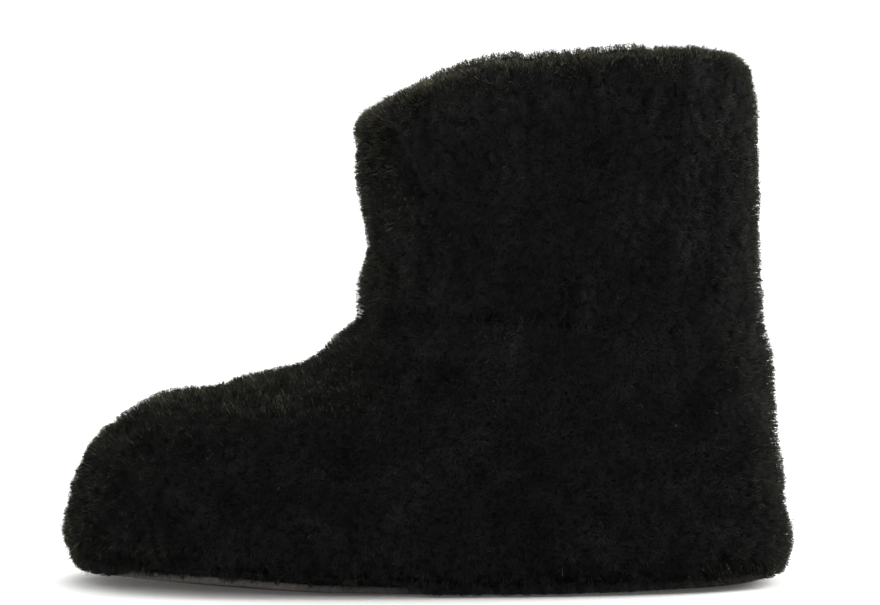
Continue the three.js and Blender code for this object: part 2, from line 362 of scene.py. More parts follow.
def scatter_noise(points, size, seed):
    """Smooth value noise from -1 to 1: random numbers on a lattice of the given size, blended between its
    corners. A lattice point's number is its three indices and the seed, mixed by shifts and large primes."""
    place = points / size
    cell = np.floor(place).astype(np.int64)
    inside = smooth(place - cell)
    total = np.zeros(points.shape[:-1])
    for corner in np.ndindex(2, 2, 2):
        at = cell + np.array(corner)
        mixed = np.bitwise_xor.reduce(at * LATTICE_PRIMES, axis=-1) ^ seed * SEED_PRIME
        mixed = (mixed ^ (mixed >> 13)) * MIXING_PRIME
        value = ((mixed ^ (mixed >> 16)) & 0xFFFF) / 0x8000 - 1
        share = np.where(np.array(corner) == 1, inside, 1 - inside)
        total += value * share.prod(axis=-1)
    return total


def sole_underside(x, inset):
    """Height of the sole's underside: flat from heel to ball, a power curve up to the toe and to the heel
    end, and a margin whose turn-up falls off with the square of the distance in from the edge."""
    heel_end, toe_end = FOOT_SECTIONS[0][2], FOOT_SECTIONS[0][0]
    toe = np.maximum(0, (x - TOE_LIFT_X) / (toe_end - TOE_LIFT_X))
    heel = np.maximum(0, (x - HEEL_LIFT_X) / (heel_end - HEEL_LIFT_X))
    grown = np.minimum(1, ((x - WAIST_X) / TURN_RUN) ** 2)
    turn = TURN_LEAST + (TURN_MOST - TURN_LEAST) * grown
    margin = np.maximum(0, 1 - np.maximum(0, inset) / TURN_REACH)
    ended = np.maximum(0, 1 - toe**3)
    return TOE_SPRING * toe**TOE_CURVE + HEEL_SPRING * heel**2 + turn * ended * margin**2


class Form:
    """The slipper's outside as a function of share, from the lowest section to the highest, and angle round.

    A section is two half superellipses that meet on its widest line. Low sections lean to the inner side at
    the toe, draw in beside the arch and are squarer and narrower at the heel. Past share 1 the shaft rounds
    over its collar on a quarter ellipse.
    """

    RUN_STEPS = 201
    GIRTH_STEPS = 721
    GIRTH_SHARE = 0.3  # the section whose girth spaces the locks

    def __init__(self, sections, seam_share, hang):
        self.table = np.array(sections, float)
        self.seam_share = seam_share
        self.hang = hang
        self.knots = np.linspace(0, 1, self.RUN_STEPS)
        toe = catmull(self.table[:, 0:2], self.knots)
        run = np.concatenate([[0], np.cumsum(np.linalg.norm(np.diff(toe, axis=0), axis=1))])
        self.length = run[-1]
        self.run = run / run[-1]
        self.angles = np.linspace(0, TAU, self.GIRTH_STEPS)
        girth = self.points(np.full(self.GIRTH_STEPS, self.GIRTH_SHARE), self.angles)
        part = np.concatenate([[0], np.cumsum(np.linalg.norm(np.diff(girth, axis=0), axis=1))])
        self.parts = part / part[-1]

    def girth_part(self, angle):
        """Share of the way round by length at an angle, and angle_at goes back."""
        return np.interp(np.mod(angle, TAU), self.angles, self.parts)

    def angle_at(self, part):
        return np.interp(np.mod(part, 1), self.parts, self.angles)

    def section(self, share):
        """The columns of the table at a share. The last group's curve only gives its rise."""
        t = np.interp(share, self.run, self.knots)
        toe, heel, shape, rise = (catmull(self.table[:, group], t) for group in SECTION_GROUPS)
        return np.moveaxis(np.concatenate([toe, heel, shape, rise[..., 1:]], axis=-1), -1, 0)

    def points(self, share, angle):
        toe_x, toe_z, heel_x, heel_z, half, widest, blunt, rise = self.section(np.clip(share, 0, 1))
        along, across = np.cos(angle), np.sin(angle)
        middle = toe_x + (heel_x - toe_x) * widest
        low = np.maximum(0, 1 - heel_z / ANKLE_Z)
        is_toe = along > 0
        end = np.where(is_toe, toe_x, heel_x)
        power = 2 / np.where(is_toe, blunt, blunt + HEEL_SQUARE * low)
        x = middle + (end - middle) * np.abs(along) ** power
        forward = np.maximum(0, (x - middle) / (toe_x - middle))
        backward = np.maximum(0, (x - middle) / (heel_x - middle))
        lean = TOE_SWING * low * forward**2
        hollow = WAIST_HOLLOW * low * np.maximum(0, across) * np.exp(-(((x - WAIST_X) / WAIST_REACH) ** 2))
        width = half * np.abs(across) ** power * (1 - HEEL_TAPER * low * backward**2)
        y = np.sign(across) * width + lean - hollow
        left = np.clip((heel_x - x) / (heel_x - toe_x), 0, 1)
        z = toe_z + (heel_z - toe_z) * (1 - left**rise)
        return np.stack([x, y, z], axis=-1)

    def level_normal(self, share, angle):
        """Outward direction in plan: the tangent round the section, turned a quarter."""
        round_ = self.points(share, angle + DIFFERENCE) - self.points(share, angle - DIFFERENCE)
        return unit(np.stack([-round_[..., 1], round_[..., 0], np.zeros_like(round_[..., 0])], axis=-1))

    def surface(self, share, angle):
        """The wool's outside: the sections, seated on the sole below and rounded over the collar above."""
        points = self.points(share, angle)
        if self.seam_share == 1:
            seated = np.maximum(0, 1 - share / SEAT_SHARE)
            floor = sole_underside(points[..., 0], 0) + SOLE_THICKNESS + SEAT
            points[..., 2] += (floor - points[..., 2]) * seated
        else:
            turn = np.clip((share - 1) / COLLAR_SPAN, 0, 1) * math.pi / 2
            inward = (WALL - HIDE / 2) * (1 - np.cos(turn))
            points = points - self.level_normal(share, angle) * inward[..., None]
            points[..., 2] += COLLAR_RISE * np.sin(turn)
        return points

    def directions(self, share, angle):
        """Outward normal, direction up the form and direction round it, from differences of the surface."""
        round_ = self.surface(share, angle + DIFFERENCE) - self.surface(share, angle - DIFFERENCE)
        lower = np.maximum(share - DIFFERENCE, 0)
        up = self.surface(share + DIFFERENCE, angle) - self.surface(lower, angle)
        normal = unit(np.cross(up, round_))
        return normal, unit(np.cross(round_, normal)), unit(round_)

    def folds(self, share, points):
        """Height of the soft folds, and depth of those narrow enough to part the wool. Each crease is a
        bell-shaped trough or ridge along its line, and so is the seam."""
        seam = (share - self.seam_share) * self.length / SEAM_REACH
        height = -SEAM_DRAW * np.exp(-(seam**2))
        parting = np.zeros_like(height)
        side = np.sign(points[..., 1])
        for x0, z0, x1, z1, depth, width, which in CREASES:
            line = np.array([x1 - x0, z1 - z0])
            offset = points[..., (0, 2)] - np.array([x0, z0])
            part = np.clip((offset @ line) / (line @ line), 0, 1)
            away = np.linalg.norm(offset - part[..., None] * line, axis=-1)
            shown = 1.0 if which == 0 else smooth((side * which + 1) / 2)
            bell = shown * depth * np.exp(-((away / width) ** 2))
            height -= bell
            if width < PARTING_WIDTH and depth > 0:
                parting += bell
        return height, parting

    def mottle(self, points, size, seed):
        """Noise as large as a nub of wool, drawn out upwards on the shaft, where the wool hangs."""
        return scatter_noise(points * np.array([1.0, 1.0, self.hang]), size, seed)

    def relief(self, share, points):
        """Height of the wool's outside over the form: its folds, the hide's slow waves, and its nubs."""
        uneven = sum(rise * scatter_noise(points, size, seed) for rise, size, seed in WAVES)
        nubs = NUB_RISE * self.mottle(points, NUB_SIZE, NUB_SEED)
        return self.folds(share, points)[0] + uneven + nubs


FOOT = Form(FOOT_SECTIONS, seam_share=1, hang=0.85)
SHAFT = Form(SHAFT_SECTIONS, seam_share=0, hang=0.5)


def make_object(name, points, loops, sizes, materials, material_index=None, uv=None, normals=None):
    """One object from whole arrays: points in millimetres, corner indices, corners in each face, corner UVs
    and, for fibres, the normals that shade them."""
    mesh = bpy.data.meshes.new(name)
    mesh.vertices.add(len(points))
    mesh.vertices.foreach_set("co", (points * MM).astype(np.float32).ravel())
    mesh.loops.add(len(loops))
    mesh.loops.foreach_set("vertex_index", loops.astype(np.int32))
    mesh.polygons.add(len(sizes))
    starts = np.concatenate([[0], np.cumsum(sizes)[:-1]]).astype(np.int32)
    mesh.polygons.foreach_set("loop_start", starts)
    mesh.polygons.foreach_set("use_smooth", np.full(len(sizes), True))
    for material in materials:
        mesh.materials.append(material)
    if material_index is not None:
        mesh.polygons.foreach_set("material_index", material_index.astype(np.int32))
    if uv is not None:
        mesh.uv_layers.new(name="OFBake").data.foreach_set("uv", uv.astype(np.float32).ravel())
    mesh.update(calc_edges=True)
    if normals is not None:
        mesh.normals_split_custom_set_from_vertices(normals.astype(np.float32))
    piece = bpy.data.objects.new(name, mesh)
    bpy.context.scene.collection.objects.link(piece)
    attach(piece, BODY)
    return piece


def ring_loops(rows, columns, is_loop):
    """Quads between neighbouring rings of points, each ring closed. is_loop joins the last ring to the
    first."""
    row = np.arange(rows if is_loop else rows - 1)[:, None]
    column = np.arange(columns)[None, :]
    low, high = row * columns, (row + 1) % rows * columns
    near, far = column, (column + 1) % columns
    return np.stack([low + near, high + near, high + far, low + far], axis=-1).reshape(-1, 4)


def wall_piece(name, rings, materials, inner_from):
    """A closed wall through rings that go up its outside and down its inside. Faces from ring inner_from on
    take the second material."""
    rings = np.asarray(rings)
    rows, columns = rings.shape[:2]
    quads = ring_loops(rows, columns, True)
    kind = (np.arange(len(quads)) // columns >= inner_from).astype(int)
    return make_object(name, rings.reshape(-1, 3), quads.ravel(), np.full(len(quads), 4), materials, kind)


def pad_piece(name, rings, materials, kinds=None):
    """A closed pad through rings from the middle of its underside, round its edge, to the middle of its top.
    kinds gives a material for each band of faces."""
    rings = np.asarray(rings)
    rows, columns = rings.shape[:2]
    quads = ring_loops(rows, columns, False)
    points = np.vstack([rings.reshape(-1, 3), rings[0].mean(axis=0), rings[-1].mean(axis=0)])
    near, far = np.arange(columns), (np.arange(columns) + 1) % columns
    bottom, top = rows * columns, rows * columns + 1
    last = (rows - 1) * columns
    caps = np.concatenate(
        [
            np.stack([np.full(columns, bottom), near, far], axis=-1),
            np.stack([last + near, np.full(columns, top), last + far], axis=-1),
        ]
    )
    sizes = np.concatenate([np.full(len(quads), 4), np.full(len(caps), 3)])
    loops = np.concatenate([quads.ravel(), caps.ravel()])
    kind = None
    if kinds is not None:
        bands = np.repeat(np.asarray(kinds), columns)
        kind = np.concatenate([bands, np.full(columns, kinds[0]), np.full(columns, kinds[-1])])
    return make_object(name, points, loops, sizes, materials, kind)


def spread_roots(form, span, count, rng):
    """Places on a form between two shares, evenly over its area: cells of a fine grid are drawn by the
    running sum of their areas."""
    steps, turns = 240, 480
    share, angle = np.meshgrid(np.linspace(*span, steps + 1), np.linspace(0, TAU, turns + 1), indexing="ij")
    points = form.surface(share, angle)
    across = points[:-1, 1:] - points[:-1, :-1]
    upward = points[1:, :-1] - points[:-1, :-1]
    area = np.linalg.norm(np.cross(upward, across), axis=-1).ravel()
    running = np.cumsum(area)
    draw = (np.arange(count) + rng.random(count)) / count * running[-1]
    cell = np.minimum(np.searchsorted(running, draw), len(area) - 1)
    row, column = np.divmod(cell, turns)
    share = span[0] + (row + rng.random(count)) / steps * (span[1] - span[0])
    return share, (column + rng.random(count)) / turns * TAU


def nearest_lock(form, share, angle, span, tiers, turns, rng):
    """The lock of wool that each place belongs to: the nearest centre of a jittered grid of tiers by turns,
    in which each tier is turned by its own random part."""
    jitter = rng.random((tiers + 2, turns, 2))
    turned = rng.random(tiers + 2) * turns
    row, column = (share - span[0]) / (span[1] - span[0]) * tiers, form.girth_part(angle) * turns
    best = np.full(share.shape, np.inf)
    lock = np.zeros(share.shape + (2,), int)
    centre = np.zeros(share.shape + (2,))
    for down in (-1, 0, 1):
        for side in (-1, 0, 1):
            i = np.clip(np.floor(row).astype(int) + down, -1, tiers)
            j = np.floor(column + turned[i + 1]).astype(int) + side
            shift = jitter[i + 1, j % turns]
            place = np.stack([i + shift[..., 0], j + shift[..., 1] - turned[i + 1]], axis=-1)
            away = (place[..., 0] - row) ** 2 + (place[..., 1] - column) ** 2
            closer = away < best
            best = np.where(closer, away, best)
            lock[closer] = np.stack([i + 1, j % turns], axis=-1)[closer]
            centre[closer] = place[closer]
    height = np.clip(centre[..., 0] / tiers, 0, 1)
    return lock, span[0] + height * (span[1] - span[0]), form.angle_at(centre[..., 1] / turns)


def ribbon_piece(name, paths, widths, facing, outward, shade, material):
    """Fibres as flat tapered ribbons: each path's points are widened sideways, across the path and its
    facing direction, and the last point is the tip. Their normals lie between the ribbon's and the wool's, so
    that the pile is shaded as one soft surface. The UV map holds the fibre's shade across and its length
    upwards."""
    count, knots = paths.shape[:2]
    tangent = unit(np.gradient(paths, axis=1))
    side = unit(np.cross(tangent, facing[:, None, :]))
    bent = unit(RIBBON_TURN * np.cross(side, tangent) + outward[:, None, :])
    normals = np.concatenate([np.repeat(bent[:, :-1], 2, axis=1), bent[:, -1:]], axis=1)
    half = widths[:, :-1, None] / 2 * side[:, :-1]
    rails = np.stack([paths[:, :-1] - half, paths[:, :-1] + half], axis=2).reshape(count, -1, 3)
    points = np.concatenate([rails, paths[:, -1:]], axis=1)
    each = points.shape[1]
    base = np.arange(count)[:, None] * each
    step = np.arange(knots - 2)[None, :, None] * 2
    quads = base[:, :, None] + step + np.array([0, 1, 3, 2])[None, None, :]
    tips = base + np.array([2 * knots - 4, 2 * knots - 3, 2 * knots - 2])
    loops = np.concatenate([quads.reshape(count, -1), tips], axis=1)
    sizes = np.tile(np.array([4] * (knots - 2) + [3]), count)
    along = np.linspace(0, 1, knots)
    level = np.concatenate([np.repeat(along[:-1], 2), [1.0]])
    left = np.concatenate([np.tile([0.0, 1.0], knots - 1), [0.5]])
    shade_width = 1 / 64
    order = (loops - base).ravel()
    u = np.repeat(shade * (1 - shade_width), loops.shape[1]) + left[order] * shade_width
    uv = np.stack([u, level[order]], axis=-1)
    return make_object(
        name, points.reshape(-1, 3), loops.ravel(), sizes, [material], uv=uv, normals=normals.reshape(-1, 3)
    )


def add_node(tree, kind, settings=None, inputs=None, stops=()):
    """Adds one node, with its settings, its inputs set to a value or linked from another socket, and the
    (position, hex colour) stops of its ramp if it has one."""
    node = tree.nodes.new(kind)
    for key, value in (settings or {}).items():
        setattr(node, key, value)
    for key, value in (inputs or {}).items():
        if isinstance(value, bpy.types.NodeSocket):
            tree.links.new(value, node.inputs[key])
        else:
            node.inputs[key].default_value = value
    while stops and len(node.color_ramp.elements) < len(stops):
        node.color_ramp.elements.new(1.0)
    for index, (position, hex_code) in enumerate(stops):
        node.color_ramp.elements[index].position = position
        node.color_ramp.elements[index].color = linear(hex_code)
    return node


def new_material(name):
    """An empty node material, and its tree to fill."""
    material = bpy.data.materials.new(name)
    material.use_nodes = True
    material.node_tree.nodes.clear()
    return material, material.node_tree


def finish_material(tree, inputs):
    """Ends a material's tree with its shader, whose sockets take the inputs, and its output."""
    shader = add_node(tree, "ShaderNodeBsdfPrincipled", inputs=inputs)
    add_node(tree, "ShaderNodeOutputMaterial", inputs={"Surface": shader.outputs["BSDF"]})


def grained_material(name, grain, stops, bump, finish, relief=None):
    """A matt surface on Object coordinates: the ramp of stops over the grain texture gives its colour, and
    the relief texture, or else the grain, its bump. A texture is a node's kind, settings and inputs."""
    material, tree = new_material(name)
    place = add_node(tree, "ShaderNodeTexCoord").outputs["Object"]
    textures = [
        add_node(tree, kind, settings, {"Vector": place, **inputs}).outputs[0]
        for kind, settings, inputs in filter(None, (grain, relief))
    ]
    tone = add_node(tree, "ShaderNodeValToRGB", inputs={"Fac": textures[0]}, stops=stops)
    bumped = add_node(tree, "ShaderNodeBump", inputs={"Height": textures[-1], **bump})
    finish_material(
        tree, {"Base Color": tone.outputs["Color"], "Normal": bumped.outputs["Normal"], **finish}
    )
    return material


def wool_fibre_material():
    """Sheep's wool, dyed black and brushed: matt fibres, darkest at the root, with a dull olive-grey lustre
    where light grazes them. The fibre's own UV gives its place from root to tip and its shade."""
    material, tree = new_material("dyed_wool_fibre")
    uv = add_node(tree, "ShaderNodeUVMap", {"uv_map": "OFBake"})
    split = add_node(tree, "ShaderNodeSeparateXYZ", inputs={"Vector": uv.outputs["UV"]})
    tone = add_node(
        tree,
        "ShaderNodeValToRGB",
        inputs={"Fac": split.outputs["Y"]},
        stops=((0.0, "#272728"), (0.55, "#373738"), (1.0, "#48484a")),
    )
    # The palest stop, past 0.9, is painted light for the glow of fibres at the rim; the lip's palest fibres
    # reach it
    shade = add_node(
        tree,
        "ShaderNodeValToRGB",
        inputs={"Fac": split.outputs["X"]},
        stops=((0.0, "#1c1c1c"), (0.14, "#5a5a5a"), (0.54, "#8a8a88"), (0.9, "#c4c4c0"), (1.0, "#f4f4dc")),
    )
    colour = add_node(
        tree,
        "ShaderNodeMix",
        {"data_type": "RGBA", "blend_type": "MULTIPLY"},
        {"Factor": 1.0, "A": tone.outputs["Color"], "B": shade.outputs["Color"]},
    )
    finish_material(
        tree,
        {
            "Base Color": colour.outputs["Result"],
            "Roughness": 0.9,
            "Specular IOR Level": 0.02,
            "Sheen Weight": 1.0,
            "Sheen Roughness": 0.22,
            "Sheen Tint": linear("#767561"),
        },
    )
    return material


def underwool_material():
    """The dense dark wool close to the hide, seen between the fibres and in the parting: matt and nearly
    black."""
    return grained_material(
        "matted_underwool",
        ("ShaderNodeTexNoise", {}, {"Scale": 1 / (2.5 * MM), "Detail": 4.0}),
        ((0.3, "#0d0d0d"), (0.7, "#191919")),
        {"Strength": 0.8, "Distance": 0.6 * MM},
        {"Roughness": 0.95, "Specular IOR Level": 0.06},
    )


def suede_material():
    """The bare flesh side of the hide, buffed to a short nap: charcoal, cloudy, with no gloss."""
    return grained_material(
        "buffed_suede",
        ("ShaderNodeTexNoise", {}, {"Scale": 1 / (14 * MM), "Detail": 5.0, "Roughness": 0.65}),
        ((0.3, "#131212"), (0.55, "#1d1b1a"), (0.75, "#292624")),
        {"Strength": 0.5, "Distance": 0.3 * MM},
        {
            "Roughness": 0.92,
            "Specular IOR Level": 0.15,
            "Sheen Weight": 0.25,
            "Sheen Tint": linear("#8a8580"),
        },
        relief=("ShaderNodeTexNoise", {}, {"Scale": 1 / (0.9 * MM), "Detail": 2.0}),
    )


def sole_leather_material():
    """Split cowhide, drum-dyed brown: a fine pebble grain, darker where it has been handled and trodden."""
    return grained_material(
        "split_cowhide",
        ("ShaderNodeTexNoise", {}, {"Scale": 1 / (24 * MM), "Detail": 6.0, "Roughness": 0.6}),
        ((0.3, "#2e1b10"), (0.5, "#4a2d1a"), (0.72, "#5f3c23")),
        {"Strength": 0.35, "Distance": 0.25 * MM},
        {"Roughness": 0.68, "Specular IOR Level": 0.35},
        relief=("ShaderNodeTexVoronoi", {"feature": "DISTANCE_TO_EDGE"}, {"Scale": 1 / (1.4 * MM)}),
    )


def burnished_edge_material():
    """The sole's cut edge, waxed and rubbed dark: brown-black with a dull shine and fine streaks
    along it, and paler grey round the toes, where light from the floor is painted in along with scuffing."""
    material, tree = new_material("burnished_edge")
    place = add_node(tree, "ShaderNodeTexCoord")
    streak = add_node(
        tree,
        "ShaderNodeTexNoise",
        inputs={"Vector": place.outputs["Object"], "Scale": 1 / (3 * MM), "Detail": 4.0, "Roughness": 0.6},
    )
    waxed = add_node(
        tree,
        "ShaderNodeValToRGB",
        inputs={"Fac": streak.outputs["Fac"]},
        stops=((0.3, "#1c1a19"), (0.55, "#262322"), (0.75, "#342e2a")),
    )
    # painted light and scuffing: a paler edge colour for the toes, as if lit from the floor
    scuffed_and_lit = add_node(
        tree,
        "ShaderNodeValToRGB",
        inputs={"Fac": streak.outputs["Fac"]},
        stops=((0.3, "#3e3a38"), (0.55, "#4b4744"), (0.75, "#58524c")),
    )
    along = add_node(tree, "ShaderNodeSeparateXYZ", inputs={"Vector": place.outputs["Object"]})
    # the mask of that painted light and scuffing: full at the toes, none from the waist on
    wear_and_light = add_node(
        tree,
        "ShaderNodeMapRange",
        inputs={
            "Value": along.outputs["X"],
            "From Min": PALE_EDGE_TOE * MM,
            "From Max": PALE_EDGE_END * MM,
            "To Min": 1.0,
            "To Max": 0.0,
        },
    )
    tone = add_node(
        tree,
        "ShaderNodeMix",
        {"data_type": "RGBA"},
        {"Factor": wear_and_light.outputs["Result"], "A": waxed.outputs["Color"], "B": scuffed_and_lit.outputs["Color"]},
    )
    bump = add_node(
        tree,
        "ShaderNodeBump",
        inputs={"Strength": 0.3, "Distance": 0.2 * MM, "Height": streak.outputs["Fac"]},
    )
    finish_material(
        tree,
        {
            "Base Color": tone.outputs["Result"],
            "Roughness": 0.55,
            "Specular IOR Level": 0.3,
            "Normal": bump.outputs["Normal"],
        },
    )
    return material


def felt_material():
    """Needled wool felt, undyed dark fleece: flecked with paler fibres and fully matt."""
    return grained_material(
        "needled_felt",
        ("ShaderNodeTexNoise", {}, {"Scale": 1 / (1.6 * MM), "Detail": 5.0, "Distortion": 1.5}),
        ((0.35, "#232120"), (0.6, "#3a3735"), (0.8, "#5b5753")),
        {"Strength": 0.7, "Distance": 0.5 * MM},
        {"Roughness": 0.97, "Specular IOR Level": 0.1, "Sheen Weight": 0.2},
    )


MATERIALS = {
    "dyed_wool_fibre": wool_fibre_material,
    "matted_underwool": underwool_material,
    "buffed_suede": suede_material,
    "split_cowhide": sole_leather_material,
    "burnished_edge": burnished_edge_material,
    "needled_felt": felt_material,
}


def material(name):
    """A named material, made on first use."""
    return bpy.data.materials.get(name) or MATERIALS[name]()


class SlipperWool(bpy.types.PropertyGroup):
    """The wool's length, density and curl"""

    root_depth: FloatProperty(
        name="Root depth",
        description="How far the fibres' roots lie under the wool's outside, in mm",
        default=2.6,
    )
    fluff: FloatProperty(
        name="Fluff",
        description="How far the fibres' tips stand over the wool's outside, in mm",
        default=1.9,
    )
    fibre_width: FloatProperty(
        name="Fibre width", description="Width of a drawn fibre, in mm", default=0.22
    )
    foot_fibres: IntProperty(
        name="Foot fibres", description="Short fibres on the foot", default=118000, min=0
    )
    shaft_fibres: IntProperty(
        name="Shaft fibres", description="Short fibres on the shaft", default=76000, min=0
    )
    foot_curls: IntProperty(
        name="Foot curls", description="Long curly fibres on the foot", default=20000, min=0
    )
    shaft_curls: IntProperty(
        name="Shaft curls", description="Long curly fibres on the shaft", default=13000, min=0
    )
    collar_fibres: IntProperty(
        name="Collar fibres", description="More short fibres over the collar", default=16000, min=0
    )
    lip_fibres: IntProperty(
        name="Lip fibres", description="Fibres inside the collar's edge", default=9000, min=0
    )
    fringe_fibres: IntProperty(
        name="Fringe fibres", description="Fibres over the sole's edge", default=15000, min=0
    )


class SlipperStage(bpy.types.PropertyGroup):
    """The camera's place and the floor's colour"""

    elevation: FloatProperty(
        name="Elevation",
        description="Camera height above the horizon",
        default=math.radians(5),
        subtype="ANGLE",
    )
    distance: FloatProperty(name="Distance", description="Camera distance", default=2.2, unit="LENGTH")
    frame_width: FloatProperty(
        name="Frame width", description="Width of the view at the slipper", default=0.352, unit="LENGTH"
    )
    aim: FloatVectorProperty(
        name="Aim", description="Point at the picture's centre", default=(0.0056, 0.0, 0.1124), subtype="XYZ"
    )
    floor_colour: StringProperty(name="Floor colour", description="Floor colour, sRGB hex", default="#eeeeec")


def make_floor(scene, colour):
    """A pale floor that is lit from within, faintly beside the slipper, which lightens its shadow, and fully
    further out, so that it fades to white away from the slipper.
    """
    mesh = bpy.data.meshes.new("floor")
    corners = [(x * FLOOR_HALF, y * FLOOR_HALF, 0) for x, y in ((-1, -1), (1, -1), (1, 1), (-1, 1))]
    mesh.from_pydata(corners, [], [(0, 1, 2, 3)])
    floor = bpy.data.objects.new("floor", mesh)
    scene.collection.objects.link(floor)
    paint, tree = new_material("studio_floor")
    spot = add_node(tree, "ShaderNodeTexCoord")
    away = add_node(tree, "ShaderNodeVectorMath", {"operation": "LENGTH"}, {0: spot.outputs["Object"]})
    glow = add_node(
        tree,
        "ShaderNodeMapRange",
        {"interpolation_type": "SMOOTHSTEP"},
        {
            "Value": away.outputs["Value"],
            "From Min": GLOW_NEAR,
            "From Max": GLOW_FAR,
            "To Min": GLOW_LEAST,
            "To Max": 1.0,
        },
    )
    finish_material(
        tree,
        {
            "Base Color": linear(colour),
            "Roughness": 0.8,
            "Specular IOR Level": 0.2,
            "Emission Color": WHITE,
            "Emission Strength": glow.outputs["Result"],
        },
    )
    mesh.materials.append(paint)


def make_sky(scene):
    """White all round, brighter behind the slipper than in front of it."""
    world = bpy.data.worlds.new("studio_white")
    world.use_nodes = True
    sky = world.node_tree
    place = add_node(sky, "ShaderNodeTexCoord")
    way = add_node(sky, "ShaderNodeSeparateXYZ", inputs={"Vector": place.outputs["Generated"]})
    shine = add_node(
        sky,
        "ShaderNodeMapRange",
        {"interpolation_type": "SMOOTHSTEP"},
        {
            "Value": way.outputs["Y"],
            "From Min": SKY_FADE_FROM,
            "From Max": SKY_FADE_TO,
            "To Min": SKY_FRONT,
            "To Max": SKY_BACK,
        },
    )
    background = sky.nodes["Background"]
    sky.links.new(shine.outputs["Result"], background.inputs["Strength"])
    background.inputs["Color"].default_value = WHITE
    scene.world = world


def aimed(direction):
    """The turn that points a light or a camera along a direction."""
    return direction.to_track_quat("-Z", "Y").to_euler()


def make_lights(scene):
    for name, place, size, watts in SOFT_BOXES:
        lamp = bpy.data.lights.new(name, "AREA")
        lamp.size = size
        lamp.energy = watts
        light = bpy.data.objects.new(name, lamp)
        light.location = place
        light.rotation_euler = aimed(Vector(LIGHT_AIM) - Vector(place))
        scene.collection.objects.link(light)


def make_camera(scene, settings):
    """The side view: from the slipper's outer side, a little above its level."""
    camera = bpy.data.cameras.new("camera")
    camera.sensor_width = SENSOR_WIDTH
    camera.lens = camera.sensor_width * settings.distance / settings.frame_width
    camera.clip_end = CLIP_END
    view = bpy.data.objects.new("camera", camera)
    away = Vector((0, -math.cos(settings.elevation), math.sin(settings.elevation)))
    view.location = Vector(settings.aim) + settings.distance * away
    view.rotation_euler = aimed(-away)
    scene.collection.objects.link(view)
    scene.camera = view


class SLIPPER_OT_stage(bpy.types.Operator):
    """Makes the pale floor, the soft lights and the camera"""

    bl_idname = "slipper.stage"
    bl_label = "Stage"

    def execute(self, context):
        scene = context.scene
        settings = scene.slipper_stage
        scene.view_settings.view_transform = "Standard"
        make_floor(scene, settings.floor_colour)
        make_sky(scene)
        make_lights(scene)
        make_camera(scene, settings)
        return {"FINISHED"}


def grid(shares):
    """Share and angle arrays with one row for each share and one column for each of the angles."""
    angles = np.arange(COLUMNS) * TAU / COLUMNS
    return np.meshgrid(np.asarray(shares, float), angles, indexing="ij")


def root_depth(share):
    """How deep the fibres' roots lie: less over the collar, where the wool stands densest."""
    return bpy.context.scene.slipper_wool.root_depth - COLLAR_DENSER * smooth((share - 1) / COLLAR_ONSET)


def under_surface(form, shares):
    """Rings of the underwool: the form's outside with its folds, sunk along the normal to the fibres'
    roots."""
    share, angle = grid(shares)
    points = form.surface(share, angle)
    normal = form.directions(share, angle)[0]
    lumps = LUMP_RISE * scatter_noise(points, LUMP_SIZE, LUMP_SEED)
    height = form.relief(share, points) - root_depth(share) + lumps
    return points + normal * height[..., None]


def sole_rings(inset, height, scale=1.0):
    """A ring at a distance in from the sole line, with its height from the sole's underside there."""
    share, angle = grid([0.0])
    points = FOOT.points(share, angle)[0]
    points = points - FOOT.level_normal(share, angle)[0] * inset
    points[:, :2] *= scale
    points[:, 2] = sole_underside(points[:, 0], inset) + height
    return points


def face_rings(height, insets):
    """Rings of a pad's flat face, from its middle outwards: scaled rings, then one at each inset."""
    scaled = [sole_rings(TURN_REACH, height, scale) for scale in FACE_SCALES]
    return scaled + [sole_rings(inset, height) for inset in insets]


def edge_rings(inset, radius, low, high):
    """Rings round a pad's edge: a quarter circle out from its underside, and another back in to its top."""
    turns = np.linspace(0, math.pi / 2, EDGE_STEPS)
    beside = [radius * (1 - math.sin(turn)) for turn in turns]
    above = [radius * (1 - math.cos(turn)) for turn in turns]
    lower = [sole_rings(inset + out, low + rise) for out, rise in zip(beside, above)]
    upper = [sole_rings(inset + out, high - drop) for out, drop in zip(above, beside)]
    return lower + upper


def crumpled(lining, direction, share):
    """A lining with slow waves along its direction, which grow from its lowest edge."""
    waves = LINING_RISE * scatter_noise(lining, LINING_SIZE, LINING_SEED) * smooth(share * LINING_ONSET)
    return lining + direction * waves[..., None]


def hide_piece(name, outside, lining):
    """A hide as one closed wall, with underwool outside and suede inside."""
    rings = np.concatenate([outside, lining[::-1]])
    materials = [material("matted_underwool"), material("buffed_suede")]
    return wall_piece(name, rings, materials, len(outside))


class SLIPPER_OT_foot_hide(bpy.types.Operator):
    """Makes the foot part's hide and underwool, open at the ankle and under the foot"""

    bl_idname = "slipper.foot_hide"
    bl_label = "Foot hide"

    def execute(self, context):
        depth = context.scene.slipper_wool.root_depth
        outside = under_surface(FOOT, np.linspace(0.0, 1.0, FOOT_STEPS))
        outside[0] = sole_rings(depth, SOLE_THICKNESS + SEAT)
        outside[..., 2] = np.maximum(outside[..., 2], outside[0, :, 2])
        share, angle = grid(np.linspace(0.0, 1.0, FOOT_LINING_STEPS))
        low_run, high_run = 0.25, 0.15  # over these shares the lining turns from level to square
        square = np.minimum(1, np.minimum(share / low_run, (1 - share) / high_run))[..., None]
        normal = FOOT.directions(np.clip(share, DIFFERENCE, 1 - DIFFERENCE), angle)[0]
        inward = unit(FOOT.level_normal(share, angle) * (1 - square) + normal * square)
        lining = FOOT.points(share, angle) - inward * WALL
        lining[0] = sole_rings(WALL, SOLE_THICKNESS + SEAT)
        for _ in range(LINING_PASSES):
            lining[1:-1] = (lining[:-2] + 2 * lining[1:-1] + lining[2:]) / 4
        piece = hide_piece("foot_hide", outside, crumpled(lining, inward, share))
        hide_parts("upper")
        return {"FINISHED"}


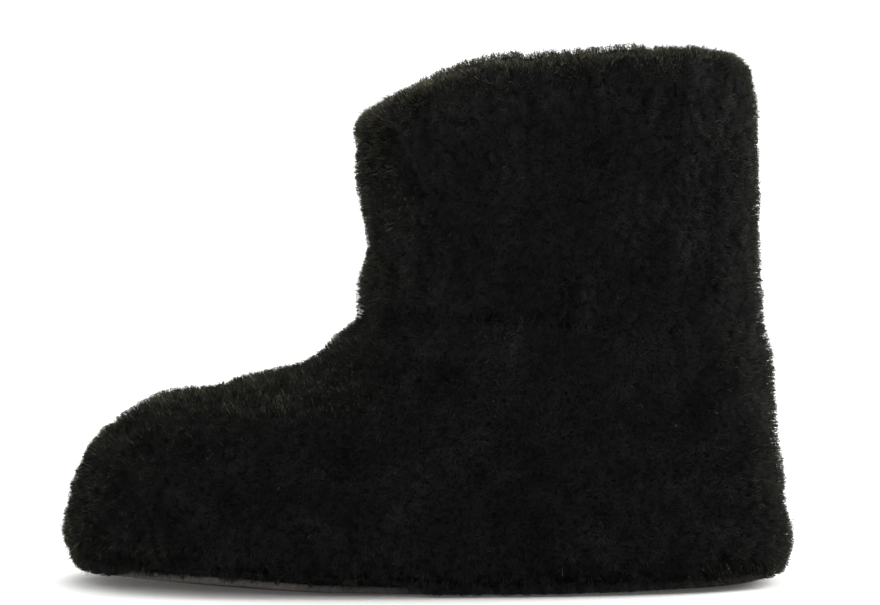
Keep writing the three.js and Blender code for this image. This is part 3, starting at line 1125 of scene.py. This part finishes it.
class SLIPPER_OT_shaft_hide(bpy.types.Operator):
    """Makes the shaft's hide and underwool, open at the ankle and the collar"""

    bl_idname = "slipper.shaft_hide"
    bl_label = "Shaft hide"

    def execute(self, context):
        outside = under_surface(SHAFT, np.linspace(0.0, 1.0 + COLLAR_SPAN, SHAFT_STEPS))
        share, angle = grid(np.linspace(0.0, 1.0, SHAFT_LINING_STEPS))
        level = SHAFT.level_normal(share, angle)
        lining = SHAFT.points(share, angle) - level * WALL
        lining[..., 2] += share * LINING_TOP
        piece = hide_piece("shaft_hide", outside, crumpled(lining, level, share))
        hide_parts("shaft")
        return {"FINISHED"}


def laid(heading, up, round_):
    """Directions in the wool's surface: down the form at heading 0, and turning round it from there."""
    return -np.cos(heading)[:, None] * up + np.sin(heading)[:, None] * round_


def scattered(directions, amount, rng):
    """Directions, each turned a little at random."""
    return unit(directions + (rng.random(directions.shape) - 0.5) * amount)


def tapered(wool, count):
    """Widths at the root, the middle and the tip of each short fibre."""
    return wool.fibre_width * np.tile(TAPER, (count, 1))


def short_fibres(form, span, count, tiers, turns, wool, rng):
    """Short fibres that mat together in nubs. A fibre's middle stands over its root and its tip is drawn to
    its nub's centre, so the nubs part from each other. Each nub has its own lean, height and shade, and slow
    noise makes broad patches of them lie one way. At the ankle the wool of both parts crosses the seam."""
    share, angle = spread_roots(form, span, count, rng)
    lock, lock_share, lock_angle = nearest_lock(form, share, angle, span, tiers, turns, rng)
    points = form.surface(share, angle)
    normal, up, round_ = form.directions(np.maximum(share, LOWEST_SHARE), angle)
    relief = form.relief(share, points)
    pull = form.surface(lock_share, lock_angle) - points
    pull -= normal * (pull * normal).sum(axis=-1, keepdims=True)
    chance = rng.random((tiers + 2, turns, 5))[lock[:, 0], lock[:, 1]]
    nub_turn, nub_lift, nub_shade, nub_draw, nub_reach = chance.T
    own = rng.random((count, 6))
    heading = LIE_TURN * scatter_noise(points, LIE_SIZE, LIE_SEED)
    heading = heading + (nub_turn - 0.5) * NUB_TURN + (own[:, 0] - 0.5) * FIBRE_TURN
    lean = laid(heading, up, round_)
    over = smooth((share - 1) / COLLAR_ONSET)
    parting = form.folds(share, points)[1]
    closing = np.exp(-PARTING_CLOSE * parting)
    depth = root_depth(share) + ROOT_SINK
    root = points + normal * (relief - depth)[:, None]
    height = depth + wool.fluff + NUB_LIFT * (nub_lift - 0.5) + FIBRE_LIFT * (own[:, 1] - FIBRE_LEVEL)
    height = np.maximum(height - COLLAR_CLIP * over - PARTING_CLIP * parting, SHORTEST)
    reach = (REACH_LEAST + REACH_SPREAD * own[:, 2] * (NUB_REACH_LEAST + nub_reach)) * closing
    at_seam = np.exp(-(((share - form.seam_share) * form.length / SEAM_CROSS) ** 2))
    seam_way = np.where(form.seam_share == 0, -1, 1)
    across = up * (at_seam * (CROSS_LEAST + CROSS_SPREAD * own[:, 3]) * seam_way)[:, None]
    drawn = ((DRAW_LEAST + DRAW_SPREAD * nub_draw) * closing * (1 - at_seam))[:, None]
    bend = (own[:, (2, 0, 1)] - 0.5) * BEND
    middle = root + normal * (MIDDLE_HEIGHT * height)[:, None] + lean * (MIDDLE_REACH * reach)[:, None]
    middle = middle + MIDDLE_REACH * drawn * pull + bend
    wander = (own[:, 3:6] - 0.5) * (WANDER + COLLAR_WANDER * over)[:, None]
    tip_height = (height * (TIP_LEAST + TIP_SPREAD * own[:, 5]))[:, None]
    tip = root + normal * tip_height + lean * reach[:, None] + drawn * pull + across + wander
    paths = np.stack([root, middle + MIDDLE_CROSS * across, tip], axis=1)
    widths = tapered(wool, count) * (WIDTH_LEAST + WIDTH_SPREAD * own[:, :1])
    patches_and_painted_shade = sum(part * form.mottle(points, size, seed) for part, size, seed in SHADE_PATCHES)
    # Painted shade: paler on ridges, darker in troughs and partings, and darker over the collar's top against
    # the light from above
    painted_relief_shade = RELIEF_PAINTED_SHADE * np.clip(relief, RELIEF_LOW, RELIEF_HIGH)
    patches_and_painted_shade += painted_relief_shade - PARTING_PAINTED_SHADE * parting**2 - COLLAR_PAINTED_SHADE * over
    shade = SHADE_MEAN + patches_and_painted_shade + SHADE_NUB * (nub_shade - 0.5) + SHADE_FIBRE * (own[:, 4] - 0.5)
    shade = SHADE_MOST * np.clip(shade, 0, 1)
    facing = scattered(normal, FACING_SCATTER, rng)
    kept = parting < PARTING_BARE
    return [part[kept] for part in (paths, widths, facing, normal, shade)]


def curly_fibres(form, span, count, wool, rng):
    """Longer fibres that curl over the locks: an arc that leaves the wool, swings to one side and bends back.
    Most have the shade of the wool below, and a few are paler."""
    share, angle = spread_roots(form, span, count, rng)
    points = form.surface(share, angle)
    normal, up, round_ = form.directions(np.maximum(share, LOWEST_SHARE), angle)
    relief = form.relief(share, points)
    own = rng.random((count, 6))
    lean = laid((own[:, 0] - 0.5) * NUB_TURN, up, round_)
    across = np.cross(normal, lean)
    t = np.linspace(0, 1, CURL_KNOTS)[None, :, None]
    length = (CURL_LENGTH + CURL_LENGTH_SPREAD * own[:, 1])[:, None, None]
    swing = ((own[:, 2] - 0.5) * CURL_SWING)[:, None, None]
    top = (-CURL_TOP * np.log(1 - CURL_TAIL * own[:, 3]))[:, None, None]
    root = points + normal * (relief + wool.fluff - CURL_SINK)[:, None]
    paths = (
        root[:, None]
        + lean[:, None] * length * (t - CURL_SLOW * t**2)
        + across[:, None] * swing * np.sin(t * CURL_SIDE_TURN)
        + normal[:, None] * (CURL_SINK + top) * np.sin(t * CURL_ARC_TURN)
    )
    narrowing = np.linspace(1.0, CURL_TIP_WIDTH, CURL_KNOTS)[None, :]
    widths = CURL_WIDTH * wool.fibre_width * narrowing * (WIDTH_LEAST + WIDTH_SPREAD * own[:, 4:5])
    shade = CURL_SHADE + CURL_PALER * own[:, 5] ** CURL_PALE_POWER
    facing = scattered(normal, CURL_SCATTER, rng)
    kept = form.folds(share, points)[1] < CURL_PARTING
    return [part[kept] for part in (paths, widths, facing, normal, shade)]


def fringe_fibres(count, wool, rng):
    """Wool that mats over the sole's edge: roots spread down from the foot's lowest edge to the height of the
    sole's underside, and short fibres that stand out from them and turn down or aside, in nubs. On the outer
    side of the toes the wool ends higher, where leather shows."""
    part = rng.random(count)
    angle = spread_roots(FOOT, (0.0, FRINGE_SHARE), count, rng)[1]
    share = np.full(count, FRINGE_SHARE)
    points = FOOT.surface(share, angle)
    x, y, z = points.T
    normal, _, round_ = FOOT.directions(share, angle)
    level = FOOT.level_normal(share, angle)
    nub = np.minimum((FOOT.girth_part(angle) * FRINGE_NUBS).astype(int), FRINGE_NUBS - 1)
    nub_end, nub_stand, nub_aside, nub_shade = rng.random((FRINGE_NUBS, 4))[nub].T
    own = rng.random((count, 6))
    bare = smooth((x - BARE_TOE) / BARE_TOE_RUN) * smooth((BARE_WAIST - x) / BARE_WAIST_RUN) * (y < 0)
    ends = sole_underside(x, 0) + FRINGE_DROP_SPREAD * nub_end - FRINGE_DROP + bare * BARE_RISE
    room = np.maximum(z - ends, FRINGE_ROOM_LEAST)
    down = np.array([0.0, 0.0, -1.0])
    tucked = TUCK + TUCK_TOE * part**2 * smooth((TUCK_TOE_X - x) / TUCK_TOE_RUN)
    root = points - level * tucked[:, None] + down * (part * room - bare)[:, None]
    out = FRINGE_STAND + FRINGE_STAND_NUB * nub_stand + FRINGE_STAND_OWN * own[:, 0] - FRINGE_STAND_LOW * part
    stand = level * out[:, None]
    sideways = FRINGE_ASIDE_NUB * (nub_aside - 0.5) + FRINGE_ASIDE_OWN * (own[:, 1] - 0.5)
    aside = round_ * sideways[:, None]
    free = (1 - part) * room + FRINGE_FREE - FRINGE_FREE_BARE * bare
    hang = np.minimum(FRINGE_HANG_LEAST + FRINGE_HANG * own[:, 2], free)
    middle = root + stand + MIDDLE_REACH * aside + (own[:, 3:6] - 0.5) * FRINGE_BEND
    tip_stand = stand * (FRINGE_TIP_LEAST + FRINGE_TIP_SPREAD * own[:, 3:4])
    tip = root + tip_stand + aside + down * hang[:, None]
    paths = np.stack([root, middle, tip], axis=1)
    # painted light: the fringe is paler than the wool above, under whose overhang it lies in shade
    shade = FRINGE_SHADE_WITH_PAINTED_LIGHT + FRINGE_SHADE_NUB * (nub_shade - 0.5) + FRINGE_SHADE_OWN * (own[:, 4] - 0.5)
    shade = SHADE_MOST * np.clip(shade, 0, 1)
    facing = scattered(level, FACING_SCATTER, rng)
    return paths, tapered(wool, count), facing, unit(level + normal), shade


def lip_fibres(count, wool, rng):
    """Wool that spills over the collar's inner edge: from the top of the lining, inward and up, then over."""
    share = 1 - LIP_REACH * rng.random(count) ** LIP_CROWDING
    angle = TAU * rng.random(count)
    level = SHAFT.level_normal(share, angle)
    root = SHAFT.points(share, angle) - level * (WALL - LIP_SINK)
    root[:, 2] += share * LINING_TOP - LIP_SINK
    own = rng.random((count, 6))
    upward = np.array([0.0, 0.0, 1.0])
    wander = (own[:, 1:4] - 0.5) * LIP_WANDER
    rise = LIP_RISE + LIP_RISE_SPREAD * own[:, 0] * smooth((share - (1 - LIP_REACH)) / LIP_ONSET)
    middle_in = level * (LIP_MIDDLE_IN + LIP_MIDDLE_SPREAD * own[:, 4:5])
    middle = root - middle_in + upward * (LIP_MIDDLE_RISE * rise)[:, None] + MIDDLE_REACH * wander
    tip_in = level * (LIP_TIP_IN + LIP_TIP_SPREAD * own[:, 5:6])
    tip = root - tip_in + upward * rise[:, None] + wander
    paths = np.stack([root, middle, tip], axis=1)
    # painted light: the lip is paler than the wool outside, though it lies in the collar's shade
    shade = LIP_SHADE_WITH_PAINTED_LIGHT + LIP_SHADE_SPREAD * own[:, 5]
    outward = unit(upward - level)
    facing = scattered(outward, FACING_SCATTER, rng)
    return paths, tapered(wool, count), facing, outward, shade


def plant(name, fibres, regions):
    """Makes one piece of fibres for each region. None hangs below the sole's underside."""
    paths = fibres[0]
    lowest = FLOOR_GAP + UNDERSIDE_PART * sole_underside(paths[..., 0], 0)
    paths[..., 2] = np.maximum(paths[..., 2], lowest)
    for region, chosen in regions(paths[:, 0]).items():
        parts = (part[chosen] for part in fibres)
        piece = ribbon_piece(f"{name}_{region}", *parts, material("dyed_wool_fibre"))


def foot_regions(roots):
    x = roots[:, 0]
    is_toe, is_heel = x < TOE_WOOL_END, x >= HEEL_WOOL_START
    return {"toe": is_toe, "waist": ~is_toe & ~is_heel, "heel": is_heel}


def shaft_regions(roots):
    return {"outer": roots[:, 1] < 0, "inner": roots[:, 1] >= 0}


class SLIPPER_OT_foot_wool(bpy.types.Operator):
    """Grows the wool on the foot part and its fringe over the sole"""

    bl_idname = "slipper.foot_wool"
    bl_label = "Foot wool"

    def execute(self, context):
        wool = context.scene.slipper_wool
        rng = np.random.default_rng(FOOT_SEED)
        whole = (0.0, 1.0)
        tiers, turns = 54, 200
        short = short_fibres(FOOT, whole, wool.foot_fibres, tiers, turns, wool, rng)
        plant("foot_wool", short, foot_regions)
        plant("foot_curls", curly_fibres(FOOT, whole, wool.foot_curls, wool, rng), foot_regions)
        plant("foot_fringe", fringe_fibres(wool.fringe_fibres, wool, rng), foot_regions)
        return {"FINISHED"}


class SLIPPER_OT_shaft_wool(bpy.types.Operator):
    """Grows the wool on the shaft and over its collar"""

    bl_idname = "slipper.shaft_wool"
    bl_label = "Shaft wool"

    def execute(self, context):
        wool = context.scene.slipper_wool
        rng = np.random.default_rng(SHAFT_SEED)
        whole, collar = (0.0, 1.0 + COLLAR_SPAN), (1.0, 1.0 + COLLAR_SPAN)
        tiers, collar_tiers, turns = 26, 5, 140
        short = short_fibres(SHAFT, whole, wool.shaft_fibres, tiers, turns, wool, rng)
        plant("shaft_wool", short, shaft_regions)
        plant("shaft_curls", curly_fibres(SHAFT, whole, wool.shaft_curls, wool, rng), shaft_regions)
        short = short_fibres(SHAFT, collar, wool.collar_fibres, collar_tiers, turns, wool, rng)
        plant("collar_wool", short, shaft_regions)
        plant("collar_lip", lip_fibres(wool.lip_fibres, wool, rng), shaft_regions)
        return {"FINISHED"}


class SLIPPER_OT_sole(bpy.types.Operator):
    """Makes the soft leather sole"""

    bl_idname = "slipper.sole"
    bl_label = "Sole"

    def execute(self, context):
        under = face_rings(0, SOLE_INSETS)
        edge = edge_rings(OVERHANG, SOLE_BEVEL, 0, SOLE_THICKNESS)
        over = face_rings(SOLE_THICKNESS, SOLE_INSETS)[::-1]
        kinds = [0] * len(under) + [1] * (len(edge) - 1) + [0] * len(over)
        hides = [material("split_cowhide"), material("burnished_edge")]
        piece = pad_piece("leather_sole", under + edge + over, hides, kinds)
        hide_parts("outsole")
        return {"FINISHED"}


class SLIPPER_OT_footbed(bpy.types.Operator):
    """Makes the felt footbed"""

    bl_idname = "slipper.footbed"
    bl_label = "Footbed"

    def execute(self, context):
        low = SOLE_THICKNESS + SEAT
        high = low + INSOLE_THICKNESS
        edge = edge_rings(WALL + SEAT, FOOTBED_BEND, low, high)
        rings = face_rings(low, (TURN_REACH,)) + edge + face_rings(high, (TURN_REACH,))[::-1]
        piece = pad_piece("felt_footbed", rings, [material("needled_felt")])
        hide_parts("insole")
        return {"FINISHED"}


class SLIPPER_PT_panel(bpy.types.Panel):
    """Lists the slipper's pieces and settings"""

    bl_idname = "SLIPPER_PT_panel"
    bl_label = "Sheepskin slipper"
    bl_space_type = "VIEW_3D"
    bl_region_type = "UI"
    bl_category = "Slipper"

    def draw(self, context):
        for operator in OPERATORS:
            self.layout.operator(operator.bl_idname)
        for group in (context.scene.slipper_wool, context.scene.slipper_stage):
            for name in group.__annotations__:
                self.layout.prop(group, name)


OPERATORS = (
    SLIPPER_OT_stage,
    SLIPPER_OT_sole,
    SLIPPER_OT_footbed,
    SLIPPER_OT_foot_hide,
    SLIPPER_OT_shaft_hide,
    SLIPPER_OT_foot_wool,
    SLIPPER_OT_shaft_wool,
)
CLASSES = (SlipperWool, SlipperStage, *OPERATORS, SLIPPER_PT_panel)


def register():
    for cls in CLASSES:
        bpy.utils.register_class(cls)
    bpy.types.Scene.slipper_wool = PointerProperty(type=SlipperWool)
    bpy.types.Scene.slipper_stage = PointerProperty(type=SlipperStage)


def unregister():
    del bpy.types.Scene.slipper_stage
    del bpy.types.Scene.slipper_wool
    for cls in reversed(CLASSES):
        bpy.utils.unregister_class(cls)


def main():
    register()
    for operator in OPERATORS:
        group, name = operator.bl_idname.split(".")
        getattr(getattr(bpy.ops, group), name)()


if __name__ == "__main__":
    main()
